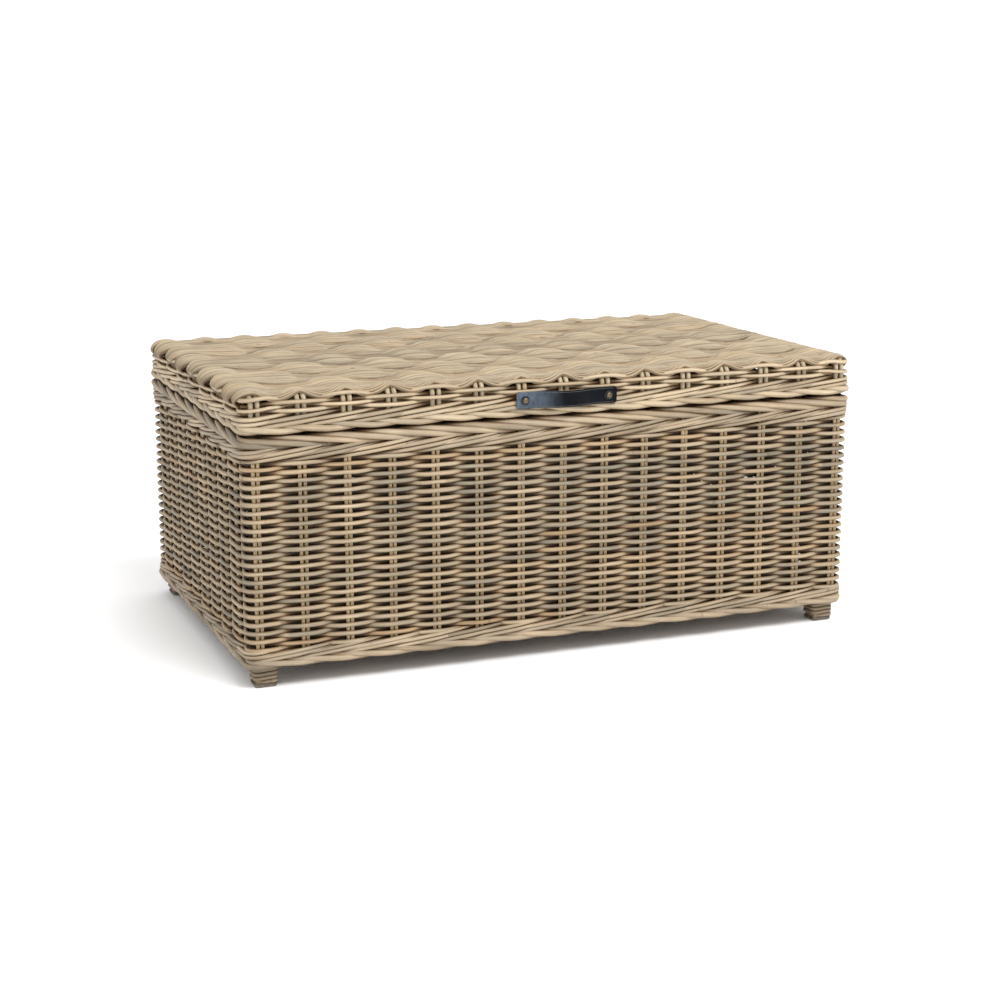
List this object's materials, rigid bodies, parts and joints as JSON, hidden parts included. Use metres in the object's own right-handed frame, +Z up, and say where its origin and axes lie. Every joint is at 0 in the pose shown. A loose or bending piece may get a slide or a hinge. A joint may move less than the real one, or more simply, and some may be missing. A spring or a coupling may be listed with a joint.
{
  "type": "wicker storage trunk",
  "caption": "Rectangular woven cane storage trunk on short feet, with a hinged woven lid, plaited borders and a leather strap handle.",
  "frame": {"origin": "centre of the whole trunk in plan, at floor level", "axes": "+X along the length, +Y to the back where the hinges are, -Y to the front where the handle is, +Z up"},
  "size_m": [1, 0.6394, 0.44],
  "materials": {
    "body_cane": "satin, natural grey rattan core",
    "border_cane": "satin, natural grey rattan core",
    "foot_cane": "satin, natural grey rattan core",
    "base_cane": "matt, natural grey rattan core",
    "lid_cane": "satin, pale straw rattan core",
    "lid_border_cane": "satin, warm beige rattan core",
    "frame_wood": "matt, stained hardwood",
    "glide": "matt grey",
    "leather": "pebbled black leather with a soft sheen",
    "washer_metal": "satin black",
    "antique_brass": "aged, satin",
    "hinge_steel": "satin dark bronze"
  },
  "bodies": {
    "body": {"base_bearers": "frame_wood", "base_rail_back": "frame_wood", "base_rail_front": "frame_wood", "base_rail_left": "frame_wood", "base_rail_right": "frame_wood", "base_weave": "base_cane", "body_stakes_back": "body_cane", "body_stakes_front": "body_cane", "body_stakes_left": "body_cane", "body_stakes_right": "body_cane", "body_weave_back": "body_cane", "body_weave_front": "body_cane", "body_weave_left": "body_cane", "body_weave_right": "body_cane", "bottom_border_back": "border_cane", "bottom_border_front": "border_cane", "bottom_border_left": "border_cane", "bottom_border_right": "border_cane", "corner_post_back_left": "frame_wood", "corner_post_back_right": "frame_wood", "corner_post_front_left": "frame_wood", "corner_post_front_right": "frame_wood", "foot_glides": "glide", "foot_wrap_back_left": "foot_cane", "foot_wrap_back_right": "foot_cane", "foot_wrap_front_left": "foot_cane", "foot_wrap_front_right": "foot_cane", "hinge_body_leaf_left": "hinge_steel", "hinge_body_leaf_right": "hinge_steel", "hinge_body_screws": "hinge_steel", "hinge_pins": "hinge_steel", "top_border_back": "border_cane", "top_border_front": "border_cane", "top_border_left": "border_cane", "top_border_right": "border_cane", "top_rail_back": "frame_wood", "top_rail_front": "frame_wood", "top_rail_left": "frame_wood", "top_rail_right": "frame_wood"},
    "lid": {"handle_screws": "antique_brass", "handle_strap": "leather", "handle_washers": "washer_metal", "hinge_lid_leaf_left": "hinge_steel", "hinge_lid_leaf_right": "hinge_steel", "hinge_lid_screws": "hinge_steel", "lid_bearers": "frame_wood", "lid_border_back": "lid_border_cane", "lid_border_front": "lid_border_cane", "lid_border_left": "lid_border_cane", "lid_border_right": "lid_border_cane", "lid_rail_back": "frame_wood", "lid_rail_front": "frame_wood", "lid_rail_left": "frame_wood", "lid_rail_right": "frame_wood", "lid_stakes": "lid_cane", "lid_weave_back": "lid_cane", "lid_weave_front": "lid_cane", "lid_weave_left": "lid_cane", "lid_weave_right": "lid_cane", "lid_weave_top": "lid_cane"}
  },
  "joints": [
    {"name": "lid_hinge", "type": "hinge", "parent": "body", "child": "lid", "pos_m": [0, 0.31034, 0.3745], "axis": [-1, 0, 0], "range_deg": [0, 100]}
  ]
}
